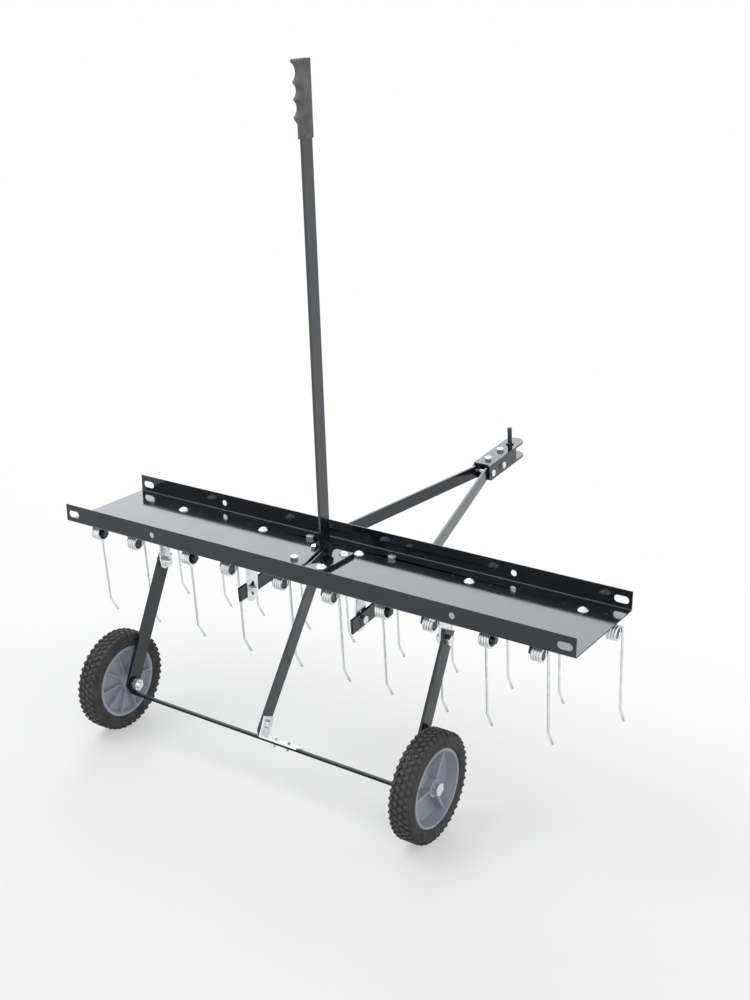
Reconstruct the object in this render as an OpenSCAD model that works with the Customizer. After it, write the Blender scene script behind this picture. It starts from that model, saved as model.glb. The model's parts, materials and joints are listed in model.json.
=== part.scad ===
// Tow-behind spring-tine lawn rake: a weight tray on two small wheels, a bent lift lever and a drawbar hitch.
// Millimetres. X right, Y forward to the hitch, Z up. Origin on the ground, in the middle of the footprint.

/* [Tray] */
// Length of the tray across the machine
tray_l = 1016; // [960:1:1200]
// Width of the tray, front to rear
tray_w = 200; // [190:1:220]
// Height of the front and rear flanges
tray_h = 33; // [30:1:60]
// Sheet thickness
sheet_t = 2; // [1.5:0.1:3]
// Inside radius of the two long bends
bend_r = 2; // [1:0.1:4]
// Length of the slots at the flange ends
end_slot_l = 25; // [14:1:30]
// Width of the slots at the flange ends
end_slot_w = 12; // [6:0.5:13]
// From the tray end to the middle of an end slot
end_slot_inset = 18; // [16:1:40]
// Diameter of the round holes in the flanges
flange_hole_d = 10.5; // [6:0.5:14]
// From the middle of the tray to a round flange hole
flange_hole_x = 302; // [200:1:400]
// Height of the flange holes and slots above the tray underside
flange_hole_z = 16; // [14:0.5:20]

/* [Tines] */
// Sideways places of the bolts of the tine pairs in the front row
front_bolts = [-367, -180, 27, 243, 445];
// Sideways places of the bolts of the tine pairs in the rear row
rear_bolts = [-432, -215, 193, 383];
// From the front flange face to the bolts of the front row
front_row_inset = 42; // [40:1:46]
// From the rear flange face to the bolts of the rear row
rear_row_inset = 28; // [26:1:30]
// From the lever left to the bolt of the first single tine
single_left = 80; // [78:0.5:82]
// From the lever right to the bolt of the second single tine
single_right = 22; // [20:0.5:24]
// Wire diameter
wire_d = 4.5; // [3.5:0.1:5]
// Mean radius of the spring coil
coil_r = 12; // [11:0.1:13]
// Turns in each coil
coil_turns = 3; // [2:1:3]
// Rise of the coil along its axis for each turn
coil_pitch = 6.075; // [5.6:0.005:6.5]
// From the bolt of a pair to the start of its coils
pair_reach = 35.5; // [33:0.5:37]
// From the bolt of a single tine to the start of its coil
single_reach = 26.5; // [25.5:0.5:28]
// Depth of the coil axis below the tray
coil_drop = 31; // [28:0.5:34]
// From the holder bolt forward to the coil axis
coil_forward = 20; // [18:0.5:22]
// Height of the straight leg below the coil axis
leg_drop = 143; // [110:1:150]
// Forward lean of the leg
leg_lean = 5; // [0:0.5:8]
// Length of the bent tip
tip_l = 34; // [20:1:42]
// Angle of the tip from upright
tip_angle = 31; // [10:1:40]
// Radial gap between a coil and its round core
core_clear = 0.4; // [0.3:0.05:1]
// Steel thickness of the tine holders
holder_t = 3; // [2:0.5:4]
// Diameter of the locating pegs of a holder
peg_d = 5.5; // [4:0.5:6]

/* [Lift lever] */
// Sideways place of the lever
lever_x = -13; // [-14:0.5:-11]
// From the middle of the lever brackets forward to the lever pivot
lever_pivot_offset = 18.5; // [14:0.5:20]
// Height of the lever pivot above the tray underside
lever_pivot_z = 19.5; // [19:0.5:22]
// Width of the lever bar
lever_w = 25.4; // [22:0.2:27]
// Thickness of the lever bar
lever_t = 5; // [4:0.1:5.4]
// From the pivot to the top of the lever bar
lever_l = 780; // [600:1:900]
// Rearward lean of the lever at rest
lever_lean = 2.9; // [0:0.1:4]
// Length of the hand grip
grip_l = 115; // [105:1:140]
// Width of the hand grip, front to rear
grip_w = 34; // [33:0.2:38]
// From the front edge of the lever bar to the front of the grip
grip_front = 2; // [1:0.5:4]
// Thickness of the hand grip
grip_t = 12; // [10:0.5:16]
// Closed end of the grip above the lever bar
grip_cap = 8; // [3:0.5:12]
// Depth of the finger grooves
groove_depth = 4; // [2:0.5:4.5]
// From the rear tine bolts to the rear edge of the lever brackets
lever_bracket_rear = 20; // [18:0.5:24]
// From the front edge of the lever brackets to the front tine bolts
lever_bracket_front = 15; // [13:0.5:18]
// Steel thickness of the lever brackets
lever_bracket_t = 3; // [2:0.5:3.5]
// From the lever to the outer edge of its brackets
lever_bracket_reach = 40; // [39:0.5:44]
// Height of the bracket feet above the tray floor
lever_foot_h = 6; // [4:0.5:8]
// From the lever to the bracket bolts
lever_bolt_x = 29; // [27:0.5:30]

/* [Wheel frame] */
// Sideways place of the middle of the wheel frame
frame_x = -14; // [-16:1:-12]
// Inboard shift of each strut from the middle between two rear tine pairs
strut_inset = 14.75; // [12:0.25:17]
// From the rear flange face to the strut pivots
strut_pivot_y = 30; // [28:0.5:32]
// Depth of the strut pivots below the tray
strut_pivot_drop = 42; // [38:0.5:44]
// From a strut pivot to its wheel axle
strut_l = 222; // [215:1:240]
// Rearward tilt of the struts from upright, wheels down
strut_tilt = 25.6; // [24:0.1:27]
// Width of the strut bars
strut_w = 30; // [26:0.5:31]
// Height of the square strut ends above their pivots
strut_top = 16; // [14:0.5:20]
// Thickness of the strut bars
strut_t = 5; // [4:0.5:6]
// Steel thickness of the strut brackets
strut_bracket_t = 3; // [2:0.5:4]
// Width of the feet of the strut brackets
strut_bracket_w = 34; // [32:0.5:36]
// Width of the legs of the strut brackets
strut_leg_w = 26; // [24:0.5:30]
// Inboard reach of the strut brackets under the tray
strut_bracket_reach = 27; // [24:0.5:30]
// Width of the cross bar
cross_bar_w = 16; // [14:0.5:24]
// Thickness of the cross bar
cross_bar_t = 4; // [3:0.5:5]
// From the axle down the strut to the middle of the cross bar
cross_bar_drop = 16; // [15:0.5:22]
// From the axle up the strut to the lever link bolt
link_rise = 9; // [7:0.5:11]
// Length of the link bracket along the cross bar
link_bracket_l = 76; // [62:1:90]
// Steel thickness of the link bracket
link_bracket_t = 3; // [2:0.5:4]
// From the lever side of the link bracket to its first bolt
link_bolt_inset = 24; // [20:0.5:28]
// Distance between the two bolts of the link bracket
link_bolt_pitch = 26; // [22:0.5:30]
// Travel of the link bolt in the lever slot
link_travel = 9.5; // [9.5:0.5:12]

/* [Wheels] */
// Outer diameter of the tyres
wheel_d = 178; // [160:1:190]
// Width of the tyres
tyre_w = 38; // [34:1:39]
// Diameter where tyre and rim meet
rim_d = 129; // [120:1:134]
// Depth of the tread
tread_h = 3.5; // [1:0.5:5]
// Tread blocks around each shoulder, a multiple of four
tread_count = 32; // [24:4:40]
// Outer diameter of the wheel hub
hub_d = 30; // [26:1:36]
// Hub length from the wheel middle towards the strut
hub_in = 26; // [24:0.5:30]
// Hub length from the wheel middle outwards
hub_out = 13; // [10:0.5:16]
// Thickness of the rim ring
rim_ring_t = 5; // [3:0.5:7]
// Thickness of the rim web
rim_web_t = 4; // [3:0.5:6]
// Ribs on the inner side of the rim
rib_count = 10; // [6:1:14]
// Thickness of the ribs
rib_t = 3; // [2:0.5:4]

/* [Drawbar] */
// Distance between the two bars under the tray
bar_span = 230; // [228:1:234]
// Height of the bars
bar_h = 25; // [20:0.5:26]
// Thickness of the bars
bar_t = 5; // [4:0.5:6]
// From the rear flange face to the rear ends of the bars
bar_rear_y = 8; // [6:0.5:10]
// Depth of the rear end of the bars below the tray
bar_rear_drop = 54; // [52:0.5:56]
// Upward slope of the drawbar
bar_slope = 6; // [5:0.1:6.5]
// From the rear end to the first bend
bar_bend_1 = 193; // [190:1:200]
// From the rear end to the second bend, beside the hitch
bar_bend_2 = 620; // [560:1:700]
// Straight length of the bars inside the hitch
bar_nose = 72; // [68:1:74]
// Steel thickness of the hitch brackets
hitch_t = 4; // [3:0.5:5]
// Gap between the two bars inside the hitch
hitch_gap = 21; // [20:0.5:24]
// Length of the hitch plates ahead of the second bend
hitch_l = 160; // [150:1:180]
// From the second bend to the first and the second side bolt of the hitch
hitch_side_bolts = [13, 56];
// From the second bend to the first and the second upright bolt of the hitch
hitch_top_bolts = [34, 84];
// From the hitch tip to the pin
pin_inset = 35; // [30:1:40]
// Diameter of the hitch pin
pin_d = 9.5; // [8:0.5:11]
// Length of the hitch pin above the upper plate
pin_top = 36; // [25:1:50]
// Steel thickness of the hangers
hanger_t = 3; // [2:0.5:3.5]
// Width of the hangers
hanger_w = 28; // [24:1:30]
// Inboard reach of the feet of the front hangers
front_foot_reach = 37; // [34:0.5:38]
// Outboard reach of the feet of the rear hangers
rear_foot_reach = 24; // [20:0.5:26]
// Travel of the bolt up and down in the slots of the rear hangers
hanger_slot = 9; // [6:0.5:10]
// From the rear flange face to the rear hangers
rear_hanger_y = 37; // [34:0.5:40]
// From the rear flange face to the front hangers
front_hanger_y = 170; // [166:1:172]

/* [Fasteners and fits] */
// Diameter of the common bolts
bolt_d = 8; // [6:0.5:8]
// Diameter of the pivot bolts
pivot_d = 10; // [8:0.5:10]
// Diameter of the axle bolts
axle_d = 12; // [10:0.5:12]
// Radial gap of a bolt in its hole
bolt_clear = 0.3; // [0.2:0.05:0.5]
// Radial gap of a turning fit
run_clear = 0.15; // [0.1:0.05:0.3]
// Gap between faces that slide past each other
side_clear = 0.4; // [0.3:0.05:0.6]

/* [Hidden] */
$fn = 48;
curl_rings = 8;
wire_sides = 6;
head_af = 1.6;
head_share = 0.65;
nut_share = 0.8;
tail_share = 0.25;
overcut = 1;
paint = "#1b1c1e";
zinc = "#c9ccd0";
rubber = "#202122";
rim_grey = "#5c616b";

// Rows of tines: the place of the holder bolt, the side of it where the tine hangs, and how far out
front_row_y = tray_w - front_row_inset;
rear_row_y = rear_row_inset;
front_tines = [for (x = front_bolts) each [[x, -1, pair_reach], [x, 1, pair_reach]]];
rear_pairs = [for (x = rear_bolts) each [[x, -1, pair_reach], [x, 1, pair_reach]]];
single_x = [lever_x - single_left, lever_x + single_right];
rear_tines = concat(rear_pairs, [for (x = single_x) [x, 1, single_reach]]);

// Path of one tine from the top of its stub, through the curls and down the leg to the tip
coil_l = coil_turns * coil_pitch;
coil_steps = coil_turns * curl_rings;
stub_h = coil_drop - side_clear;
knee = [coil_l, coil_r + leg_drop * tan(leg_lean), -leg_drop];
tip = knee + tip_l * [0, sin(tip_angle), -cos(tip_angle)];
coil_path = [
    for (i = [0:coil_steps])
        let (a = 360 * i / curl_rings)
        [coil_pitch * i / curl_rings, coil_r * cos(a), -coil_r * sin(a)]
];
tine_path = concat([[0, coil_r, stub_h]], coil_path, [knee, tip]);
tine_turns = concat([0], [for (i = [0:coil_steps]) 360 * i / curl_rings], [-leg_lean, -tip_angle]);
last_ring = len(tine_path) - 1;
function toward(a, b) = (b - a) / norm(b - a);
function heading(i) =
    toward(tine_path[max(i - 1, 0)], tine_path[i == last_ring ? i : min(i + 1, last_ring)]);
function outward(i) = [0, cos(tine_turns[i]), -sin(tine_turns[i])];
function across(i) = let (c = cross(heading(i), outward(i))) c / norm(c);
function square_out(i) = cross(across(i), heading(i));
function wire_ring(i) = [
    for (k = [0:wire_sides - 1])
        let (a = 360 * (k + 0.5) / wire_sides)
        tine_path[i] + wire_d / 2 * (cos(a) * square_out(i) + sin(a) * across(i))
];
tine_points = [for (i = [0:last_ring]) each wire_ring(i)];
tine_walls = [
    for (i = [0:last_ring - 1], k = [0:wire_sides - 1])
        let (a = i * wire_sides + k, b = i * wire_sides + (k + 1) % wire_sides)
        each [[a, a + wire_sides, b], [b, a + wire_sides, b + wire_sides]]
];
tine_caps = [
    for (k = [1:wire_sides - 2])
        let (end = last_ring * wire_sides)
        each [[0, k, k + 1], [end, end + k + 1, end + k]]
];
tine_least_gap = min([
    for (i = [0:last_ring - curl_rings + 2], j = [i + curl_rings - 2:1:last_ring])
        norm(tine_path[i] - tine_path[j]) - wire_d
]);
echo(tine_least_gap = tine_least_gap);
core_d = 2 * ((coil_r - wire_d / 2) * cos(180 / curl_rings) - core_clear);

// Lever brackets lie between the two tine rows
lever_bracket_y = rear_row_y + lever_bracket_rear;
lever_bracket_l = front_row_y - lever_bracket_front - lever_bracket_y;
lever_bracket_mid = lever_bracket_y + lever_bracket_l / 2;
lever_pivot_y = lever_bracket_mid + lever_pivot_offset;

// Lift linkage: pivots and the link bolt at rest, as Y and Z
strut_span = (rear_bolts[2] + rear_bolts[3] - rear_bolts[0] - rear_bolts[1]) / 2 - 2 * strut_inset;
link_drop = strut_l - link_rise;
lever_pivot = [lever_pivot_y, lever_pivot_z];
strut_pivot = [strut_pivot_y, -strut_pivot_drop];
strut_way = [-sin(strut_tilt), -cos(strut_tilt)];
axle = strut_pivot + strut_l * strut_way;
link = strut_pivot + link_drop * strut_way;
link_way = toward(lever_pivot, link);
lever_top = lever_pivot + lever_l * [-sin(lever_lean), cos(lever_lean)];
slot_w = lever_t + 2 * lever_bracket_t + 2 * side_clear;
slot_rear_y = sheet_t + bend_r + 8;
slot_front_y = lever_pivot_y + lever_w / 2 + 6;
link_head_room = nut_share * bolt_d + tail_share * bolt_d;

// Wheel frame, sideways
strut_x = strut_span / 2;
hub_face = strut_x + strut_t / 2 + side_clear;
wheel_x = hub_face + hub_in;
link_bracket_in = lever_x - frame_x + lever_t / 2 + side_clear;
link_bracket_d = 6;
link_bolt_x = [for (i = [0, 1]) link_bracket_in + link_bolt_inset + link_bolt_pitch * i];

// Drawbar frame: origin at the rear end of the bars, tilted by the slope
bar_x = bar_span / 2;
nose_x = hitch_gap / 2 + bar_t / 2;
hitch_half = hitch_gap / 2 + bar_t + hitch_t;
hitch_tip = bar_bend_2 + hitch_l;
pin_u = hitch_tip - pin_inset;
plate_top = bar_h / 2 + hitch_t;
tip_y = bar_rear_y + hitch_tip * cos(bar_slope) + plate_top * sin(bar_slope);
function bar_point_z(y) = -bar_rear_drop + (y - bar_rear_y) * tan(bar_slope);
hanger_u = [for (y = [rear_hanger_y, front_hanger_y]) (y - bar_rear_y) / cos(bar_slope)];
hitch_side_u = [for (u = hitch_side_bolts) bar_bend_2 + u];
hitch_top_u = [for (u = hitch_top_bolts) bar_bend_2 + u];

// The ground and the middle of the footprint
ground_z = axle[1] - wheel_d / 2;
middle_y = (axle[0] - wheel_d / 2 + tip_y) / 2;

// Frames
module in_place() {
    translate([0, -middle_y, -ground_z])
        children();
}

module drawbar_frame() {
    translate([0, bar_rear_y, -bar_rear_drop])
        rotate([bar_slope, 0, 0])
            children();
}

module wheel_frame() {
    translate([frame_x, strut_pivot[0], strut_pivot[1]])
        rotate([-strut_tilt, 0, 0])
            children();
}

module both_sides() {
    children();
    mirror([1, 0, 0])
        children();
}

// A plate that stands front to rear, drawn as Y and Z, from x to x + t
module side_plate(x, t) {
    translate([x, 0, 0])
        rotate([90, 0, 90])
            linear_extrude(t)
                children();
}

// A round bar across the machine, from x to x + l
module cross_rod(x, p, d, l) {
    translate([x, p[0], p[1]])
        rotate([0, 90, 0])
            cylinder(d = d, h = l);
}

// A flat outline from p to q with round ends
module bar_outline(p, q, w) {
    run = q - p;
    translate(p) {
        circle(d = w);
        rotate(atan2(run[1], run[0])) {
            translate([0, -w / 2])
                square([norm(run), w]);
            translate([norm(run), 0])
                circle(d = w);
        }
    }
}

// A bolt with its nut, head above the XY plane, gripping a stack of the given height below it
module through_bolt(d, grip, domed = false) {
    head_h = head_share * d;
    nut_h = nut_share * d;
    translate([0, 0, -grip - nut_h - tail_share * d])
        cylinder(d = d, h = grip + nut_h + tail_share * d + overcut);
    translate([0, 0, -grip - nut_h])
        cylinder(d = 2 * head_af * d / sqrt(3), h = nut_h, $fn = 6);
    if (domed)
        intersection() {
            dome_r = 1.2 * d;
            dome_h = head_h;
            ball_r = (dome_r * dome_r + dome_h * dome_h) / (2 * dome_h);
            translate([0, 0, dome_h - ball_r])
                sphere(r = ball_r);
            cylinder(r = dome_r, h = dome_h);
        }
    else
        cylinder(d = 2 * head_af * d / sqrt(3), h = head_h, $fn = 6);
}

// The same bolt lying across the machine with its head to the right of x
module cross_bolt(x, p, d, grip, turn = 0) {
    translate([x, p[0], p[1]])
        rotate([0, 90, 0])
            rotate(turn)
                through_bolt(d, grip);
}

module bolt_hole(p, d, h) {
    translate([p[0], p[1], -h])
        cylinder(d = d + 2 * bolt_clear, h = 2 * h);
}

// Places of the bolts through the tray floor
right_reach = lever_bracket_l / 2 - 1.75 * bolt_d;
left_reach = right_reach - 0.5 * bolt_d;
lever_bolts_right = [for (y = [-1, 1]) [lever_x + lever_bolt_x, lever_bracket_mid + y * right_reach]];
lever_bolts_left = [for (y = [-1, 1]) [lever_x - lever_bolt_x, lever_bracket_mid + y * left_reach]];
strut_bolt_x = strut_x - strut_t / 2 - side_clear - strut_bracket_t - strut_bracket_reach / 2;
strut_bolts = [
    for (s = [-1, 1], y = [-1, 1])
        [frame_x + s * strut_bolt_x, strut_pivot_y + y * strut_bracket_w / 4]
];
hanger_face = bar_x - bar_t / 2;
front_foot_bolt = hanger_face - front_foot_reach + 1.25 * bolt_d;
rear_foot_bolt = hanger_face + rear_foot_reach / 2;
front_hanger_bolts = [for (s = [-1, 1]) [s * front_foot_bolt, front_hanger_y]];
rear_hanger_bolts = [for (s = [-1, 1]) [s * rear_foot_bolt, rear_hanger_y]];
tine_bolt_places = concat(
    [for (x = front_bolts) [x, front_row_y]],
    [for (x = rear_bolts) [x, rear_row_y]],
    [for (x = single_x) [x, rear_row_y]]
);
peg_forward = 6;
front_pegs = [for (t = front_tines) [t[0] + t[1] * t[2], front_row_y + peg_forward]];
rear_pegs = [for (t = rear_tines) [t[0] + t[1] * t[2], rear_row_y + peg_forward]];

// Tray
module tray_section() {
    outer_r = bend_r + sheet_t;
    difference() {
        union() {
            translate([outer_r, 0])
                square([tray_w - 2 * outer_r, outer_r]);
            for (y = [outer_r, tray_w - outer_r])
                translate([y, outer_r])
                    circle(r = outer_r);
            for (y = [0, tray_w - outer_r])
                translate([y, outer_r])
                    square([outer_r, tray_h - outer_r]);
        }
        translate([outer_r, sheet_t])
            square([tray_w - 2 * outer_r, tray_h]);
        translate([sheet_t, outer_r])
            square([tray_w - 2 * sheet_t, tray_h]);
        for (y = [outer_r, tray_w - outer_r])
            translate([y, outer_r])
                circle(r = bend_r);
    }
}

module flange_slot(x) {
    reach = (end_slot_l - end_slot_w) / 2;
    for (s = [-1, 1])
        translate([x + s * reach, -overcut, flange_hole_z])
            rotate([-90, 0, 0])
                cylinder(d = end_slot_w, h = tray_w + 2 * overcut);
    translate([x - reach, -overcut, flange_hole_z - end_slot_w / 2])
        cube([2 * reach, tray_w + 2 * overcut, end_slot_w]);
}

module tray() {
    color(paint)
        in_place()
            difference() {
                side_plate(-tray_l / 2, tray_l)
                    tray_section();
                for (s = [-1, 1]) {
                    flange_slot(s * (tray_l / 2 - end_slot_inset));
                    translate([s * flange_hole_x, -overcut, flange_hole_z])
                        rotate([-90, 0, 0])
                            cylinder(d = flange_hole_d, h = tray_w + 2 * overcut);
                }
                translate([lever_x - slot_w / 2, slot_rear_y, -sheet_t])
                    cube([slot_w, slot_front_y - slot_rear_y, 3 * sheet_t]);
                for (p = concat(tine_bolt_places, lever_bolts_left, lever_bolts_right, strut_bolts,
                                front_hanger_bolts, rear_hanger_bolts))
                    bolt_hole(p, bolt_d, 3 * sheet_t);
                for (p = concat(front_pegs, rear_pegs))
                    bolt_hole(p, peg_d, 3 * sheet_t);
            }
}

// Tines and what holds them
module holder(sides, reach) {
    web_front = coil_forward + 4;
    ear_w = 12;
    ear_x = reach - wire_d / 2 - 1.75 - holder_t;
    core_end = reach + coil_l - coil_pitch / 2;
    peg_reach = reach + peg_d;
    difference() {
        union() {
            for (s = sides) {
                translate([s > 0 ? -bolt_d * 1.5 : -peg_reach, -bolt_d * 1.5, -holder_t])
                    cube([bolt_d * 1.5 + peg_reach, bolt_d * 1.5 + web_front, holder_t]);
                side_plate(s > 0 ? ear_x : -ear_x - holder_t, holder_t) {
                    translate([coil_forward - ear_w / 2, -coil_drop])
                        square([ear_w, coil_drop]);
                    circle_at([coil_forward, -coil_drop], core_d + 2);
                }
                cross_rod(s > 0 ? ear_x : -core_end, [coil_forward, -coil_drop], core_d, core_end - ear_x);
                translate([s * reach, peg_forward, -holder_t])
                    cylinder(d = peg_d, h = holder_t + sheet_t);
            }
        }
        bolt_hole([0, 0], bolt_d, 3 * holder_t);
    }
}

module tine_holders_front() {
    color(paint)
        in_place()
            for (x = front_bolts)
                translate([x, front_row_y, 0])
                    holder([-1, 1], pair_reach);
}

module tine_holders_rear() {
    color(paint)
        in_place() {
            for (x = rear_bolts)
                translate([x, rear_row_y, 0])
                    holder([-1, 1], pair_reach);
            for (x = single_x)
                translate([x, rear_row_y, 0])
                    holder([1], single_reach);
        }
}

module tine_bolts() {
    color(zinc)
        in_place()
            for (p = tine_bolt_places)
                translate([p[0], p[1], sheet_t])
                    through_bolt(bolt_d, sheet_t + holder_t, domed = true);
}

module tine(place, row_y) {
    color(zinc)
        in_place()
            translate([place[0], row_y + coil_forward, -coil_drop])
                mirror([place[1] > 0 ? 0 : 1, 0, 0])
                    translate([place[2], 0, 0])
                        polyhedron(points = tine_points, faces = concat(tine_walls, tine_caps));
}

// Lift lever
module lever() {
    slot_end = link + link_way * link_travel;
    color(paint)
        in_place()
            side_plate(lever_x - lever_t / 2, lever_t)
                difference() {
                    union() {
                        bar_outline(lever_pivot, slot_end, lever_w);
                        circle_at(lever_pivot, lever_w);
                        translate(lever_pivot)
                            rotate(lever_lean)
                                translate([-lever_w / 2, 0])
                                    square([lever_w, lever_l]);
                    }
                    circle_at(lever_pivot, pivot_d + 2 * run_clear);
                    bar_outline(link - link_way * side_clear, slot_end, bolt_d + 4 * side_clear);
                }
}

module circle_at(p, d) {
    translate(p)
        circle(d = d);
}

module grip() {
    corner = 0.45 * grip_t;
    ridges = [0, 0.286, 0.495, 0.714, 1.286];
    color("#17181a")
        in_place()
            translate([lever_x, lever_pivot[0], lever_pivot[1]])
                rotate([lever_lean, 0, 0])
                    translate([0, 0, lever_l + grip_cap - grip_l])
                        difference() {
                            translate([0, lever_w / 2 + grip_front - grip_w / 2, 0])
                                linear_extrude(grip_l)
                                    round_box(grip_t, grip_w, corner);
                            translate([-lever_t / 2 - run_clear, -lever_w / 2 - run_clear, -overcut])
                                cube([lever_t + 2 * run_clear, lever_w + 2 * run_clear,
                                      grip_l - grip_cap + overcut]);
                            for (i = [0:len(ridges) - 2])
                                finger_groove(ridges[i] * grip_l, ridges[i + 1] * grip_l);
                        }
}

// A groove across the back of the grip, between two ridges measured down from its top
module finger_groove(upper, lower) {
    ridge_flat = 1.5;
    half = (lower - upper - ridge_flat) / 2;
    r = (half * half + groove_depth * groove_depth) / (2 * groove_depth);
    back = lever_w / 2 + grip_front - grip_w;
    cross_rod(-grip_t, [back + groove_depth - r, grip_l - (upper + lower) / 2], 2 * r, 2 * grip_t);
}

module round_box(w, l, r) {
    translate([-w / 2 + r, -l / 2])
        square([w - 2 * r, l]);
    translate([-w / 2, -l / 2 + r])
        square([w, l - 2 * r]);
    for (sx = [-1, 1], sy = [-1, 1])
        translate([sx * (w / 2 - r), sy * (l / 2 - r)])
            circle(r = r);
}

// One of the two brackets beside the lever: an ear and a thick foot on the tray floor
module lever_bracket(side, bolts) {
    ear_r = pivot_d / 2 + 5;
    ear_x = lever_t / 2 + side_clear;
    rear = lever_bracket_y;
    color(paint)
        in_place()
            difference() {
                translate([lever_x, 0, sheet_t])
                    mirror([side > 0 ? 0 : 1, 0, 0]) {
                        translate([ear_x, rear, 0])
                            cube([lever_bracket_reach - ear_x, lever_bracket_l, lever_foot_h]);
                        side_plate(ear_x, lever_bracket_t)
                            ear_outline(rear, ear_r);
                    }
                cross_rod(lever_x - lever_bracket_reach, lever_pivot, pivot_d + 2 * bolt_clear,
                          2 * lever_bracket_reach);
                for (p = bolts)
                    translate([p[0], p[1], 0])
                        cylinder(d = bolt_d + 2 * bolt_clear, h = 4 * lever_foot_h);
            }
}

// Ear on the lever bracket: a gusset that rises to a round eye at the pivot
module ear_outline(rear, r) {
    eye = lever_pivot - [0, sheet_t];
    foot = 14;
    polygon([
        [rear + foot, 0], [rear + lever_bracket_l - foot, 0],
        [rear + lever_bracket_l - foot, lever_foot_h], [eye[0] + r, eye[1]], [eye[0] - r, eye[1]],
        [rear + foot, lever_foot_h]
    ]);
    circle_at(eye, 2 * r);
}

module lever_bracket_left() {
    lever_bracket(-1, lever_bolts_left);
}

module lever_bracket_right() {
    lever_bracket(1, lever_bolts_right);
}

module lever_pivot_bolt() {
    ears = lever_t + 2 * (side_clear + lever_bracket_t);
    color(zinc)
        in_place()
            cross_bolt(lever_x + ears / 2, lever_pivot, pivot_d, ears);
}

module lever_bracket_bolts() {
    grip = sheet_t + lever_foot_h;
    color(zinc)
        in_place() {
            for (p = lever_bolts_left)
                translate([p[0], p[1], grip])
                    through_bolt(bolt_d, grip);
            for (p = lever_bolts_right)
                translate([p[0], p[1], grip])
                    through_bolt(bolt_d, grip, domed = true);
        }
}

// Wheel frame brackets, fixed under the tray
module strut_bracket(side) {
    leg_x = strut_x - strut_t / 2 - side_clear - strut_bracket_t;
    color(zinc)
        in_place()
            difference() {
                translate([frame_x, 0, 0])
                    mirror([side > 0 ? 0 : 1, 0, 0]) {
                        side_plate(leg_x, strut_bracket_t)
                            difference() {
                                union() {
                                    translate([strut_pivot_y - strut_leg_w / 2, -strut_pivot_drop])
                                        square([strut_leg_w, strut_pivot_drop]);
                                    circle_at(strut_pivot, strut_leg_w);
                                }
                                circle_at(strut_pivot, pivot_d + 2 * bolt_clear);
                            }
                        translate([leg_x - strut_bracket_reach, strut_pivot_y - strut_bracket_w / 2,
                                   -strut_bracket_t])
                            cube([strut_bracket_reach + strut_bracket_t, strut_bracket_w, strut_bracket_t]);
                    }
                for (p = strut_bolts)
                    bolt_hole(p, bolt_d, 2 * strut_bracket_t);
            }
}

module strut_bracket_left() {
    strut_bracket(-1);
}

module strut_bracket_right() {
    strut_bracket(1);
}

module strut_pivot_bolts() {
    grip = strut_t + 2 * side_clear + strut_bracket_t;
    color(zinc)
        in_place()
            translate([frame_x, 0, 0])
                both_sides()
                    cross_bolt(strut_x + strut_t / 2 + side_clear, strut_pivot, pivot_d, grip);
}

module strut_bracket_bolts() {
    color(zinc)
        in_place()
            for (p = strut_bolts)
                translate([p[0], p[1], sheet_t])
                    through_bolt(bolt_d, sheet_t + strut_bracket_t);
}

// Moving wheel frame
module strut(side) {
    color(paint)
        in_place()
            wheel_frame()
                side_plate(side * strut_x - strut_t / 2, strut_t)
                    difference() {
                        union() {
                            translate([-strut_w / 2, -strut_l])
                                square([strut_w, strut_l + strut_top]);
                            circle_at([0, -strut_l], strut_w);
                        }
                        circle(d = pivot_d + 2 * run_clear);
                        circle_at([0, -strut_l], axle_d + 2 * bolt_clear);
                    }
}

module strut_left() {
    strut(-1);
}

module strut_right() {
    strut(1);
}

// Flat bar between the struts with both ends turned up to the axle bolts
module cross_bar_section() {
    inner = strut_x - strut_t / 2;
    outer_r = 2 * cross_bar_t;
    low = -strut_l - cross_bar_drop - cross_bar_t / 2;
    for (s = [-1, 1]) {
        translate([s > 0 ? inner - cross_bar_t : -inner, low + outer_r])
            square([cross_bar_t, cross_bar_drop + cross_bar_t / 2 - outer_r]);
        intersection() {
            translate([s * (inner - outer_r), low + outer_r])
                difference() {
                    circle(r = outer_r);
                    circle(r = outer_r - cross_bar_t);
                }
            translate([s > 0 ? inner - outer_r : -inner, low])
                square([outer_r, outer_r]);
        }
    }
    translate([-inner + outer_r, low])
        square([2 * (inner - outer_r), cross_bar_t]);
}

module cross_bar() {
    inner = strut_x - strut_t / 2;
    color(paint)
        in_place()
            wheel_frame()
                difference() {
                    union() {
                        translate([0, cross_bar_w / 2, 0])
                            rotate([90, 0, 0])
                                linear_extrude(cross_bar_w)
                                    cross_bar_section();
                        for (s = [-1, 1])
                            cross_rod(s > 0 ? inner - cross_bar_t : -inner, [0, -strut_l], 2 * axle_d,
                                      cross_bar_t);
                    }
                    cross_rod(-strut_span, [0, -strut_l], axle_d + 2 * bolt_clear, 2 * strut_span);
                    for (x = link_bolt_x)
                        translate([x, 0, -strut_l - cross_bar_drop - cross_bar_t])
                            cylinder(d = link_bracket_d + 2 * bolt_clear, h = 2 * cross_bar_t);
                }
}

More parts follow.
